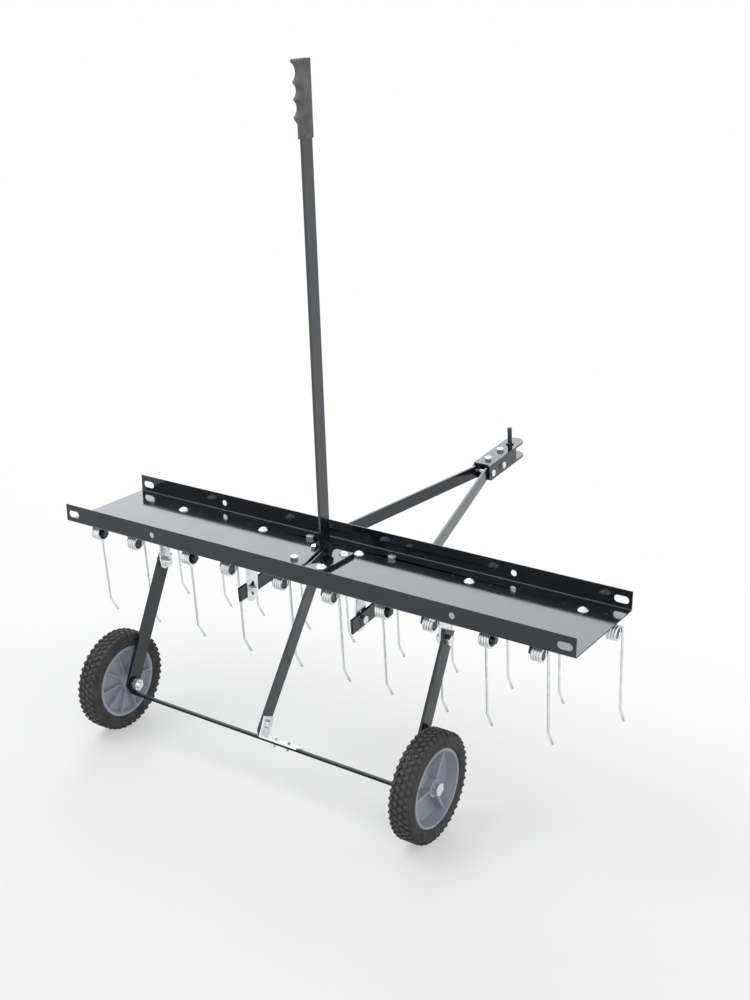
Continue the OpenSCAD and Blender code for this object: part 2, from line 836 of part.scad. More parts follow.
// Angle bracket that ties the lever to the cross bar
module link_bracket() {
    bar_top = -strut_l - cross_bar_drop + cross_bar_t / 2;
    leg_r = lever_w / 2;
    color(zinc)
        in_place()
            wheel_frame()
                difference() {
                    union() {
                        side_plate(link_bracket_in, link_bracket_t)
                            translate([-leg_r, bar_top])
                                square([2 * leg_r, leg_r - link_drop - bar_top]);
                        translate([link_bracket_in, -leg_r, bar_top])
                            cube([link_bracket_l, 2 * leg_r, link_bracket_t]);
                    }
                    cross_rod(link_bracket_in - overcut, [0, -link_drop], bolt_d + 2 * bolt_clear,
                              3 * link_bracket_t);
                    for (x = link_bolt_x)
                        translate([x, 0, bar_top - overcut])
                            cylinder(d = link_bracket_d + 2 * bolt_clear, h = 3 * link_bracket_t);
                }
}

module link_bracket_bolts() {
    top = -strut_l - cross_bar_drop + cross_bar_t / 2 + link_bracket_t;
    color(zinc)
        in_place()
            wheel_frame()
                for (x = link_bolt_x)
                    translate([x, 0, top])
                        through_bolt(link_bracket_d, cross_bar_t + link_bracket_t);
}

module link_bolt() {
    grip = link_bracket_t + 2 * side_clear + lever_t;
    color(zinc)
        in_place()
            wheel_frame()
                cross_bolt(link_bracket_in + link_bracket_t, [0, -link_drop], bolt_d, grip);
}

// Axle bolt: head outside the hub, nut inside the strut and the cross bar
module axle_bolt(side) {
    grip = hub_out + hub_in + 2 * side_clear + strut_t + cross_bar_t;
    color(zinc)
        in_place()
            wheel_frame()
                mirror([side > 0 ? 0 : 1, 0, 0])
                    cross_bolt(wheel_x + hub_out + side_clear, [0, -strut_l], axle_d, grip, turn = 30);
}

module axle_bolt_left() {
    axle_bolt(-1);
}

module axle_bolt_right() {
    axle_bolt(1);
}

// Wheels: turned about their own X axis, outer side towards +X
module wheel_place(side) {
    in_place()
        translate([frame_x, axle[0], axle[1]])
            mirror([side > 0 ? 0 : 1, 0, 0])
                translate([wheel_x, 0, 0])
                    rotate([0, 90, 0])
                        children();
}

module rim(side) {
    outer = rim_d / 2 - run_clear;
    ring_in = outer - rim_ring_t;
    half = tyre_w / 2 - 2;
    hub_r = hub_d / 2;
    bore_r = axle_d / 2 + run_clear;
    web_z = 9 - half;
    web_top = web_z + rim_web_t;
    rib_z = 2 - half;
    spoke_h = 11;
    color(rim_grey)
        wheel_place(side) {
            rotate_extrude()
                polygon([
                    [outer, half], [outer - 3.5, half], [outer - 10, web_top + 5], [outer - 16, web_top],
                    [hub_r, web_top], [hub_r, hub_out], [bore_r, hub_out], [bore_r, -hub_in],
                    [hub_r, -hub_in], [hub_r, web_z], [outer - 16, web_z], [outer - 12, web_z + 1.5],
                    [ring_in, web_top + 8], [ring_in, -half], [outer, -half]
                ]);
            for (i = [0:rib_count - 1])
                rotate(360 * (i + 0.5) / rib_count)
                    translate([hub_r - 1, -rib_t / 2, rib_z])
                        cube([ring_in - hub_r + 2, rib_t, web_z + rim_web_t / 2 - rib_z]);
            for (i = [0:2])
                rotate(120 * i + 40)
                    translate([hub_r - 1, -rib_t * 0.75, web_z + rim_web_t * 0.75])
                        cube([ring_in - hub_r, 1.5 * rib_t, spoke_h]);
        }
}

module rim_left() {
    rim(-1);
}

module rim_right() {
    rim(1);
}

module tyre(side) {
    seat_r = rim_d / 2;
    base_r = wheel_d / 2 - tread_h;
    half = tyre_w / 2;
    step = 360 / tread_count;
    block_l = 2 * PI * base_r / tread_count * 0.62;
    color(rubber)
        wheel_place(side) {
            rotate_extrude()
                polygon([
                    [seat_r, -half + 3], [seat_r + 6, -half], [base_r - 8, -half], [base_r, -half + 4],
                    [base_r, half - 4], [base_r - 8, half], [seat_r + 6, half], [seat_r, half - 3]
                ]);
            intersection() {
                rotate_extrude()
                    polygon([
                        [base_r - 9, -half], [base_r - 5, -half], [wheel_d / 2, -half + 5],
                        [wheel_d / 2, half - 5], [base_r - 5, half], [base_r - 9, half]
                    ]);
                for (i = [0:tread_count - 1], s = [-1, 1])
                    rotate((i + (s > 0 ? 0.5 : 0)) * step)
                        translate([base_r - 8, -block_l / 2, s > 0 ? 1 : -half])
                            cube([tread_h + 12, block_l, half - 1]);
            }
        }
}

module tyre_left() {
    tyre(-1);
}

module tyre_right() {
    tyre(1);
}

// Drawbar
module drawbar(side) {
    bend = [[bar_x, 0], [bar_x, bar_bend_1], [nose_x, bar_bend_2], [nose_x, bar_bend_2 + bar_nose]];
    color(paint)
        in_place()
            drawbar_frame()
                difference() {
                    mirror([side > 0 ? 0 : 1, 0, 0])
                        translate([0, 0, -bar_h / 2])
                            linear_extrude(bar_h)
                                for (i = [0:len(bend) - 2])
                                    bar_outline(bend[i], bend[i + 1], bar_t);
                    for (u = hanger_u)
                        cross_rod(-bar_span, [u, 0], bolt_d + 2 * bolt_clear, 2 * bar_span);
                    for (u = hitch_side_u)
                        cross_rod(-hitch_half, [u, 0], bolt_d + 2 * bolt_clear, 2 * hitch_half);
                }
}

module drawbar_left() {
    drawbar(-1);
}

module drawbar_right() {
    drawbar(1);
}

// Angle bracket with a round-nosed plate; the lower one is the same piece turned over
module hitch_bracket() {
    rear = bar_bend_2 + 4;
    flange_l = 112;
    difference() {
        union() {
            translate([0, 0, bar_h / 2])
                linear_extrude(hitch_t) {
                    translate([-hitch_half, rear + 6])
                        square([2 * hitch_half, hitch_tip - hitch_half - rear - 6]);
                    translate([0, hitch_tip - hitch_half])
                        circle(r = hitch_half);
                }
            side_plate(hitch_half - hitch_t, hitch_t)
                translate([rear, -bar_h / 2])
                    square([flange_l, bar_h + hitch_t]);
        }
        translate([0, pin_u, 0])
            cylinder(d = pin_d + 2 * run_clear, h = 2 * bar_h);
        for (u = hitch_top_u)
            translate([0, u, 0])
                cylinder(d = bolt_d + 2 * bolt_clear, h = 2 * bar_h);
        for (u = hitch_side_u)
            cross_rod(0, [u, 0], bolt_d + 2 * bolt_clear, 2 * hitch_half);
    }
}

module hitch_bracket_upper() {
    color(paint)
        in_place()
            drawbar_frame()
                hitch_bracket();
}

module hitch_bracket_lower() {
    color(paint)
        in_place()
            drawbar_frame()
                rotate([0, 180, 0])
                    hitch_bracket();
}

module hitch_bolts() {
    color(zinc)
        in_place()
            drawbar_frame() {
                for (u = hitch_side_u)
                    cross_bolt(hitch_half, [u, 0], bolt_d, 2 * hitch_half);
                for (u = hitch_top_u)
                    translate([0, u, plate_top])
                        through_bolt(bolt_d, 2 * plate_top);
            }
}

module hitch_pin() {
    color(zinc)
        in_place()
            drawbar_frame()
                translate([0, pin_u, 0]) {
                    translate([0, 0, -plate_top - 4])
                        cylinder(d = pin_d, h = 2 * plate_top + 4 + pin_top);
                    translate([0, 0, plate_top])
                        cylinder(d = 1.7 * pin_d, h = 3);
                }
}

// Hangers that carry the bars under the tray; the rear ones are slotted so that the bars can be set level
module hanger(side, y, outboard) {
    drop = -bar_point_z(y);
    foot_x = outboard ? hanger_face - hanger_t : hanger_face - front_foot_reach;
    foot_l = outboard ? hanger_t + rear_foot_reach : front_foot_reach;
    slot = outboard ? hanger_slot : 0;
    bolt_x = outboard ? rear_foot_bolt : front_foot_bolt;
    color(zinc)
        in_place()
            mirror([side > 0 ? 0 : 1, 0, 0])
                difference() {
                    union() {
                        side_plate(hanger_face - hanger_t, hanger_t)
                            bar_outline([y, -hanger_w / 2], [y, -drop - slot], hanger_w);
                        translate([hanger_face - hanger_t, y - hanger_w / 2, -hanger_w / 2])
                            cube([hanger_t, hanger_w, hanger_w / 2]);
                        translate([foot_x, y - hanger_w / 2, -hanger_t])
                            cube([foot_l, hanger_w, hanger_t]);
                    }
                    side_plate(hanger_face - 2 * hanger_t, 3 * hanger_t) {
                        circle_at([y, -drop], bolt_d + 2 * bolt_clear);
                        if (slot > 0)
                            bar_outline([y, -drop + slot], [y, -drop - slot], bolt_d + 2 * bolt_clear);
                    }
                    bolt_hole([bolt_x, y], bolt_d, 2 * hanger_t);
                }
}

module front_hanger_left() {
    hanger(-1, front_hanger_y, false);
}

module front_hanger_right() {
    hanger(1, front_hanger_y, false);
}

module rear_hanger_left() {
    hanger(-1, rear_hanger_y, true);
}

module rear_hanger_right() {
    hanger(1, rear_hanger_y, true);
}

module hanger_bolts() {
    color(zinc)
        in_place() {
            for (p = concat(front_hanger_bolts, rear_hanger_bolts))
                translate([p[0], p[1], sheet_t])
                    through_bolt(bolt_d, sheet_t + hanger_t);
            both_sides()
                for (y = [rear_hanger_y, front_hanger_y])
                    cross_bolt(bar_x + bar_t / 2, [y, bar_point_z(y)], bolt_d, bar_t + hanger_t);
        }
}

tray();
lever_bracket_left();
lever_bracket_right();
lever_pivot_bolt();
lever_bracket_bolts();
strut_bracket_left();
strut_bracket_right();
strut_pivot_bolts();
strut_bracket_bolts();
front_hanger_left();
front_hanger_right();
rear_hanger_left();
rear_hanger_right();
hanger_bolts();
drawbar_left();
drawbar_right();
hitch_bracket_upper();
hitch_bracket_lower();
hitch_bolts();
hitch_pin();
tine_holders_front();
tine_holders_rear();
tine_bolts();
lever();
grip();
strut_left();
strut_right();
cross_bar();
link_bracket();
link_bracket_bolts();
link_bolt();
axle_bolt_left();
axle_bolt_right();
rim_left();
rim_right();
tyre_left();
tyre_right();
for (i = [1:len(front_tines)])
    tine(front_tines[i - 1], front_row_y);
for (i = [1:len(rear_tines)])
    tine(rear_tines[i - 1], rear_row_y);
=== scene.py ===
"""Dresses the towed lawn rake: finishes for steel and rubber, wound wire tines, treaded wheels and a moulded grip."""

import json
from math import cos, pi, radians, sin, tan

import bpy
from mathutils import Matrix, Vector

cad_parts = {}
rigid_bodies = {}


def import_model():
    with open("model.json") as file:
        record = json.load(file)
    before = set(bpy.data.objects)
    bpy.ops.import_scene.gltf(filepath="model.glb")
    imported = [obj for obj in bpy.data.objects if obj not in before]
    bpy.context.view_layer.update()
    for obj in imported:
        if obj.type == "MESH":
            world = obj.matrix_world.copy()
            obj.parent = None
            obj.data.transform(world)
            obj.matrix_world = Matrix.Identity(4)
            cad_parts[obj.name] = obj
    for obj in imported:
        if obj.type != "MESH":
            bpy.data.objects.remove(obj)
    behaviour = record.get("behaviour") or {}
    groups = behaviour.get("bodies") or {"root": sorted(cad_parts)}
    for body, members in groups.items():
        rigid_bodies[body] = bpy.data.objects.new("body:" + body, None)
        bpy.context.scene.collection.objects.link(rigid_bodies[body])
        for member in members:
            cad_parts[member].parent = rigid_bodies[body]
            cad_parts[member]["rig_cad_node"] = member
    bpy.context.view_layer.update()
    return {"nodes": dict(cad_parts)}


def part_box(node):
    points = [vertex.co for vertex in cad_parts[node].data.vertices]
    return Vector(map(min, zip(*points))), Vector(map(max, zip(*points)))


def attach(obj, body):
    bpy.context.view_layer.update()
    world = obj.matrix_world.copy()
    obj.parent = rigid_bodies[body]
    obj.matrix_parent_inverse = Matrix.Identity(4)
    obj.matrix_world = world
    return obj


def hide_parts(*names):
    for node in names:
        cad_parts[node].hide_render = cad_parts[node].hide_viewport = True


bl_info = {
    "name": "Towed lawn rake",
    "version": (1, 0, 0),
    "blender": (4, 5, 0),
    "location": "View3D > Sidebar > Rake",
    "description": "Builds the visible pieces and finishes of a tow-behind spring-tine lawn rake",
    "category": "Object",
}

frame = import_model()

PAINTED = [
    ("tray", "chassis"),
    ("lever_bracket_left", "chassis"),
    ("lever_bracket_right", "chassis"),
    ("drawbar_left", "chassis"),
    ("drawbar_right", "chassis"),
    ("hitch_bracket_upper", "chassis"),
    ("hitch_bracket_lower", "chassis"),
    ("tine_holders_front", "chassis"),
    ("tine_holders_rear", "chassis"),
    ("strut_left", "wheel_frame"),
    ("strut_right", "wheel_frame"),
]
BRIGHT = [
    ("lever", "lift_lever"),
    ("hitch_pin", "pin"),
]
SATIN = [
    ("cross_bar", "wheel_frame"),
    ("lever_pivot_bolt", "chassis"),
]
PLATED = [
    ("lever_bracket_bolts", "chassis"),
    ("strut_bracket_left", "chassis"),
    ("strut_bracket_right", "chassis"),
    ("strut_pivot_bolts", "chassis"),
    ("strut_bracket_bolts", "chassis"),
    ("front_hanger_left", "chassis"),
    ("front_hanger_right", "chassis"),
    ("rear_hanger_left", "chassis"),
    ("rear_hanger_right", "chassis"),
    ("hanger_bolts", "chassis"),
    ("hitch_bolts", "chassis"),
    ("tine_bolts", "chassis"),
    ("link_bracket", "wheel_frame"),
    ("link_bracket_bolts", "wheel_frame"),
    ("link_bolt", "wheel_frame"),
    ("axle_bolt_left", "wheel_frame"),
    ("axle_bolt_right", "wheel_frame"),
]
TINES_PER_ROW = 10
SINGLE_TINES = ("tine_rear_9", "tine_rear_10")
ON_PLANE = 1e-5  # vertices this near to a plane count as on it


# Working in Blender


def deselect():
    """Goes back to object mode, with nothing selected."""
    if bpy.context.object and bpy.context.object.mode != "OBJECT":
        bpy.ops.object.mode_set(mode="OBJECT")
    bpy.ops.object.select_all(action="DESELECT")


def pick(*pieces):
    """Selects these objects; the first is active."""
    deselect()
    for piece in pieces:
        piece.select_set(True)
    bpy.context.view_layer.objects.active = pieces[0]


def edit(piece, select="SELECT"):
    """Opens a piece in edit mode."""
    pick(piece)
    bpy.ops.object.mode_set(mode="EDIT")
    bpy.ops.mesh.select_mode(type="VERT")
    bpy.ops.mesh.select_all(action=select)


def close():
    """Ends edit mode."""
    bpy.ops.object.mode_set(mode="OBJECT")


def choose(piece, test):
    """Selects the vertices of the piece in edit mode that pass the test, and nothing else."""
    bpy.ops.mesh.select_all(action="DESELECT")
    close()
    for vertex in piece.data.vertices:
        vertex.select = test(vertex.co)
    bpy.ops.object.mode_set(mode="EDIT")


def extrude(step):
    """Extrudes what is selected by one step."""
    bpy.ops.mesh.extrude_region_move(TRANSFORM_OT_translate={"value": step})


def apply(piece, kind, **settings):
    """Adds a modifier with these settings and applies it."""
    pick(piece)
    modifier = piece.modifiers.new(kind.lower(), kind)
    for name, value in settings.items():
        setattr(modifier, name, value)
    bpy.ops.object.modifier_apply(modifier=modifier.name)


def clean(piece):
    """Merges doubles and points the faces outwards."""
    edit(piece)
    bpy.ops.mesh.remove_doubles(threshold=1e-6)
    bpy.ops.mesh.normals_make_consistent(inside=False)
    close()


def smooth(piece, angle=35):
    """Shades the piece smooth, apart from edges sharper than the angle in degrees."""
    pick(piece)
    bpy.ops.object.shade_smooth_by_angle(angle=radians(angle))


def settle(piece, name, body, slot, finish, *nodes):
    """Names a finished piece, gives it its finish, and lets it ride in place of its nodes."""
    piece.name = name
    piece.data.name = name
    piece.data.materials.clear()
    piece.data.materials.append(finish)
    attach(piece, body)
    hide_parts(*nodes)


def copy_of(piece):
    """A copy with its own mesh."""
    pick(piece)
    bpy.ops.object.duplicate()
    return bpy.context.object


def node_copy(node):
    """A merged copy of a node's solid, with its flat faces whole again."""
    piece = copy_of(frame["nodes"][node])
    del piece["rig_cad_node"]  # the copy is a piece of its own
    piece.parent = None
    edit(piece)
    bpy.ops.mesh.remove_doubles(threshold=2e-6)
    bpy.ops.mesh.dissolve_limited(angle_limit=radians(0.5))
    close()
    return piece


def chain(points, segments):
    """Extrudes one vertex from point to point, then spins the line about the X axis."""
    deselect()
    bpy.ops.mesh.primitive_plane_add(size=0.001)
    piece = bpy.context.object
    edit(piece)
    bpy.ops.mesh.merge(type="CENTER")
    bpy.ops.transform.translate(value=points[0])
    for before, after in zip(points, points[1:]):
        extrude(Vector(after) - Vector(before))
    bpy.ops.mesh.select_all(action="SELECT")
    bpy.ops.mesh.spin(steps=segments, angle=2 * pi, center=(0, 0, 0), axis=(1, 0, 0))
    close()
    clean(piece)
    return piece


def block(size, place, bevel):
    """A bevelled block."""
    deselect()
    bpy.ops.mesh.primitive_cube_add(size=1)
    piece = bpy.context.object
    edit(piece)
    bpy.ops.transform.resize(value=size)
    bpy.ops.transform.translate(value=place)
    bpy.ops.mesh.select_mode(type="EDGE")
    bpy.ops.mesh.select_all(action="SELECT")
    bpy.ops.mesh.bevel(offset=bevel, segments=2, affect="EDGES")
    close()
    return piece


def ring_of(piece, count, turn=0.0):
    """Repeats the mesh in a ring around the X axis, turned from the bottom where asked."""
    edit(piece)
    if turn:
        spin_copy(turn, 1)
        bpy.ops.mesh.select_all(action="INVERT")
        bpy.ops.mesh.delete(type="VERT")
        bpy.ops.mesh.select_all(action="SELECT")
    spin_copy(2 * pi * (count - 1) / count, count - 1)
    close()


def spin_copy(angle, steps):
    """Copies what is selected around the X axis, in steps over the angle."""
    bpy.ops.mesh.spin(steps=steps, dupli=True, angle=angle, center=(0, 0, 0), axis=(1, 0, 0))


def join(*pieces):
    """Makes one piece of several."""
    pick(*pieces)
    bpy.ops.object.join()
    return bpy.context.object


def shift(piece, place):
    """Moves the mesh, and leaves its object at the origin."""
    edit(piece)
    bpy.ops.transform.translate(value=place)
    close()


def mirror(piece):
    """Turns a right-hand piece into a left-hand one."""
    edit(piece)
    bpy.ops.transform.resize(value=(-1, 1, 1), center_override=(0, 0, 0))
    bpy.ops.mesh.normals_make_consistent(inside=False)
    close()


def ease(piece, width):
    """Rounds the sharp edges a little and shades the rest smooth, flat faces first."""
    apply(
        piece,
        "BEVEL",
        width=width,
        segments=2,
        limit_method="ANGLE",
        angle_limit=radians(40),
        use_clamp_overlap=False,
        miter_outer="MITER_ARC",
    )
    smooth(piece)
    apply(piece, "WEIGHTED_NORMAL", weight=50, keep_sharp=True)


# Finishes


def new_finish(name):
    """An empty material with its shader and a source of object coordinates."""
    finish = bpy.data.materials.new(name)
    finish.use_nodes = True
    tree = finish.node_tree
    shader = tree.nodes["Principled BSDF"]
    place = tree.nodes.new("ShaderNodeTexCoord")
    return finish, tree, shader, place.outputs["Object"]


def noise(tree, source, scale, detail, stretch=None):
    """Noise on object coordinates, drawn out along an axis where asked."""
    if stretch:
        mapping = tree.nodes.new("ShaderNodeMapping")
        mapping.inputs["Scale"].default_value = stretch
        tree.links.new(source, mapping.inputs["Vector"])
        source = mapping.outputs["Vector"]
    texture = tree.nodes.new("ShaderNodeTexNoise")
    texture.inputs["Scale"].default_value = scale
    texture.inputs["Detail"].default_value = detail
    tree.links.new(source, texture.inputs["Vector"])
    return texture.outputs["Fac"]


def ramp(tree, source, low, high):
    """A colour ramp between (place, colour) low and (place, colour) high."""
    node = tree.nodes.new("ShaderNodeValToRGB")
    for stop, (place, colour) in zip(node.color_ramp.elements, (low, high)):
        stop.position = place
        stop.color = (*colour, 1.0)
    tree.links.new(source, node.inputs["Fac"])
    return node.outputs["Color"]


def span(tree, source, low, high, start=0.3, end=0.7):
    """Maps noise, or another value from start to end, to a range of values."""
    node = tree.nodes.new("ShaderNodeMapRange")
    node.inputs["From Min"].default_value = start
    node.inputs["From Max"].default_value = end
    node.inputs["To Min"].default_value = low
    node.inputs["To Max"].default_value = high
    tree.links.new(source, node.inputs["Value"])
    return node.outputs["Result"]


def combine(tree, work, one, other):
    """One value made of two."""
    node = tree.nodes.new("ShaderNodeMath")
    node.operation = work
    tree.links.new(one, node.inputs[0])
    tree.links.new(other, node.inputs[1])
    return node.outputs["Value"]


def distance(tree, place, middle, across):
    """How far a point lies from the middle, on the axes that across keeps."""
    for work, value in (("SUBTRACT", middle), ("MULTIPLY", across), ("LENGTH", (0, 0, 0))):
        node = tree.nodes.new("ShaderNodeVectorMath")
        node.operation = work
        node.inputs[1].default_value = value
        tree.links.new(place, node.inputs[0])
        place = node.outputs["Value" if work == "LENGTH" else "Vector"]
    return place


def bump(tree, shader, source, strength, depth):
    """Fine relief on the surface."""
    node = tree.nodes.new("ShaderNodeBump")
    node.inputs["Strength"].default_value = strength
    node.inputs["Distance"].default_value = depth
    tree.links.new(source, node.inputs["Height"])
    tree.links.new(node.outputs["Normal"], shader.inputs["Normal"])


def mottled(tree, shader, source, colour, lift):
    """Colour that drifts between a shade and a paler one, lift times as bright."""
    pale = tuple(min(1.0, c * lift) for c in colour)
    tree.links.new(ramp(tree, source, (0.35, tuple(colour)), (0.75, pale)), shader.inputs["Base Color"])


def powder_coat(look, name, gloss, shine):
    """Black powder coat: fine orange peel, faint dust and scuffs, and a cool shine."""
    finish, tree, shader, place = new_finish(name)
    shader.inputs["IOR"].default_value = shine
    shader.inputs["Specular Tint"].default_value = (*look.paint_sheen, 1.0)
    mottled(tree, shader, noise(tree, place, 14, 6), look.paint, 1.9)
    scuffs = noise(tree, place, 60, 8, (0.25, 1.6, 1.0))
    tree.links.new(span(tree, scuffs, gloss - 0.03, gloss + 0.05), shader.inputs["Roughness"])
    bump(tree, shader, noise(tree, place, 900, 2), 0.04, 0.0002)
    return finish


def zinc_plate(look):
    """Bright zinc plate with cloudy passivation."""
    finish, tree, shader, place = new_finish("zinc_plate")
    shader.inputs["Metallic"].default_value = 1.0
    mottled(tree, shader, noise(tree, place, 90, 5), look.zinc, 1.25)
    tree.links.new(span(tree, noise(tree, place, 260, 4), 0.22, 0.42), shader.inputs["Roughness"])
    bump(tree, shader, noise(tree, place, 1500, 2), 0.08, 0.0001)
    return finish


def drawn_wire(look):
    """Zinc-plated spring wire with fine draw marks."""
    finish, tree, shader, place = new_finish("drawn_spring_wire")
    shader.inputs["Metallic"].default_value = 1.0
    mottled(tree, shader, noise(tree, place, 70, 4), look.wire, 1.2)
    tree.links.new(span(tree, noise(tree, place, 400, 4, (1.0, 1.0, 0.15)), 0.24, 0.44), shader.inputs["Roughness"])
    bump(tree, shader, noise(tree, place, 1800, 2, (1.0, 1.0, 0.1)), 0.08, 0.0001)
    return finish


def tyre_rubber(look, axle, tread):
    """Dull black rubber with a dusty bloom, paler towards the tops of the knobs at the tread's radius."""
    finish, tree, shader, place = new_finish("tyre_rubber")
    radius = distance(tree, place, axle, (0, 1, 1))
    # the rubber turns paler towards its outermost radius, on the tops of the knobs
    paler_tops = span(tree, radius, 0.0, 0.4, start=tread - 0.0022, end=tread - 0.0006)
    mottled(tree, shader, combine(tree, "ADD", noise(tree, place, 45, 6), paler_tops), look.rubber, 4.2)
    tree.links.new(span(tree, noise(tree, place, 160, 4), 0.58, 0.78), shader.inputs["Roughness"])
    bump(tree, shader, noise(tree, place, 1300, 3), 0.25, 0.0002)
    return finish


def rim_plastic(look):
    """Grey moulded plastic with a fine spark-eroded grain."""
    finish, tree, shader, place = new_finish("rim_plastic")
    mottled(tree, shader, noise(tree, place, 30, 4), look.rim, 1.18)
    tree.links.new(span(tree, noise(tree, place, 220, 3), 0.4, 0.54), shader.inputs["Roughness"])
    bump(tree, shader, noise(tree, place, 2200, 2), 0.18, 0.0001)
    return finish


def grip_rubber(look):
    """Soft black grip with a pebbled surface, its colour lifted to dark grey as a painted sheen."""
    finish, tree, shader, place = new_finish("grip_rubber")
    mottled(tree, shader, noise(tree, place, 60, 5), look.grip, 1.8)
    tree.links.new(span(tree, noise(tree, place, 200, 4), 0.5, 0.68), shader.inputs["Roughness"])
    bump(tree, shader, noise(tree, place, 1100, 2), 0.35, 0.0003)
    return finish


# Settings


class RakeLook(bpy.types.PropertyGroup):
    """Colours and gloss of the finishes."""

    paint: bpy.props.FloatVectorProperty(
        name="Paint", description="Powder coat of the steel parts", subtype="COLOR", default=(0.006, 0.0088, 0.0115)
    )
    paint_gloss: bpy.props.FloatProperty(
        name="Paint roughness", description="Lower is glossier", default=0.1, min=0.05, max=0.8, subtype="FACTOR"
    )
    satin_gloss: bpy.props.FloatProperty(
        name="Satin roughness",
        description="Duller paint of the cross bar",
        default=0.5,
        min=0.1,
        max=0.9,
        subtype="FACTOR",
    )
    paint_sheen: bpy.props.FloatVectorProperty(
        name="Paint sheen", description="Tint of the paint's reflections", subtype="COLOR", default=(0.86, 0.94, 1.0)
    )
    paint_shine: bpy.props.FloatProperty(
        name="Paint shine", description="Refractive index of the paint", default=1.6, min=1.0, max=2.5
    )
    bright_shine: bpy.props.FloatProperty(
        name="Bright shine", description="Refractive index of the lever's paint", default=1.8, min=1.0, max=2.5
    )
    satin_shine: bpy.props.FloatProperty(
        name="Satin shine", description="Refractive index of the duller paint", default=1.35, min=1.0, max=2.5
    )
    zinc: bpy.props.FloatVectorProperty(
        name="Zinc", description="Plated bolts and brackets", subtype="COLOR", default=(0.74, 0.76, 0.77)
    )
    wire: bpy.props.FloatVectorProperty(
        name="Wire", description="Spring tines", subtype="COLOR", default=(0.76, 0.79, 0.8)
    )
    rubber: bpy.props.FloatVectorProperty(
        name="Rubber", description="Tyres", subtype="COLOR", default=(0.013, 0.013, 0.0135)
    )
    rim: bpy.props.FloatVectorProperty(
        name="Rim", description="Moulded wheel rims", subtype="COLOR", default=(0.3, 0.335, 0.385)
    )
    # The grip colour is lifted well above black rubber as a painted sheen.
    grip: bpy.props.FloatVectorProperty(
        name="Grip", description="Hand grip", subtype="COLOR", default=(0.082, 0.086, 0.095)
    )
    floor: bpy.props.FloatVectorProperty(
        name="Floor", description="Floor under the rake", subtype="COLOR", default=(0.86, 0.86, 0.86)
    )


class RakeSizes(bpy.types.PropertyGroup):
    """Sizes that only the visible pieces have."""

    steel_edge: bpy.props.FloatProperty(
        name="Steel edge", description="Rounding of sheared steel edges", default=0.0005, unit="LENGTH"
    )
    bolt_edge: bpy.props.FloatProperty(
        name="Bolt edge", description="Rounding of bolt heads and nuts", default=0.0004, unit="LENGTH"
    )
    wire: bpy.props.FloatProperty(
        name="Wire", description="Diameter of the spring wire", default=0.0045, unit="LENGTH"
    )
    coil: bpy.props.FloatProperty(
        name="Coil", description="Mean radius of the spring coil", default=0.012, unit="LENGTH"
    )
    coil_pitch: bpy.props.FloatProperty(
        name="Coil pitch", description="Advance of the coil for each turn", default=0.004556, unit="LENGTH"
    )
    coil_turns: bpy.props.IntProperty(name="Coil turns", description="Turns in each coil", default=4)
    stub: bpy.props.FloatProperty(
        name="Stub", description="Straight wire above the coil", default=0.0306, unit="LENGTH"
    )
    leg: bpy.props.FloatProperty(
        name="Leg", description="Drop of the leg to its bend", default=0.143, unit="LENGTH"
    )
    leg_lean: bpy.props.FloatProperty(
        name="Leg lean", description="Forward lean of the leg", default=radians(5), unit="ROTATION"
    )
    tip: bpy.props.FloatProperty(
        name="Tip", description="Length of the bent tip", default=0.034, unit="LENGTH"
    )
    tip_angle: bpy.props.FloatProperty(
        name="Tip angle", description="Angle of the tip from upright", default=radians(31), unit="ROTATION"
    )
    tyre: bpy.props.FloatProperty(
        name="Tyre", description="Outer radius of the tyres", default=0.089, unit="LENGTH"
    )
    tyre_width: bpy.props.FloatProperty(
        name="Tyre width", description="Width of the tyres", default=0.038, unit="LENGTH"
    )
    rim: bpy.props.FloatProperty(
        name="Rim", description="Outer radius of the rims", default=0.0643, unit="LENGTH"
    )
    knobs: bpy.props.IntProperty(name="Knobs", description="Tread blocks in a row", default=46)
    grip_long: bpy.props.FloatProperty(
        name="Grip length", description="Length of the hand grip", default=0.115, unit="LENGTH"
    )
    grip_wide: bpy.props.FloatProperty(
        name="Grip width", description="Front to back", default=0.034, unit="LENGTH"
    )
    grip_thick: bpy.props.FloatProperty(
        name="Grip thickness", description="Side to side", default=0.012, unit="LENGTH"
    )
    lever_lean: bpy.props.FloatProperty(
        name="Lever lean", description="Rearward lean of the lever", default=radians(2.9), unit="ROTATION"
    )
    lens: bpy.props.FloatProperty(name="Lens", description="Focal length of the camera", default=48.39)


def look():
    return bpy.context.scene.rake_look


def sizes():
    return bpy.context.scene.rake_sizes


# Pieces


def coil_axis(node):
    """The y and z of a coil's axis, from the box of its tine, whose solid has a six-sided wire."""
    size = sizes()
    low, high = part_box(node)
    return low.y + size.coil + size.wire / 2 * cos(pi / 6), high.z - size.stub


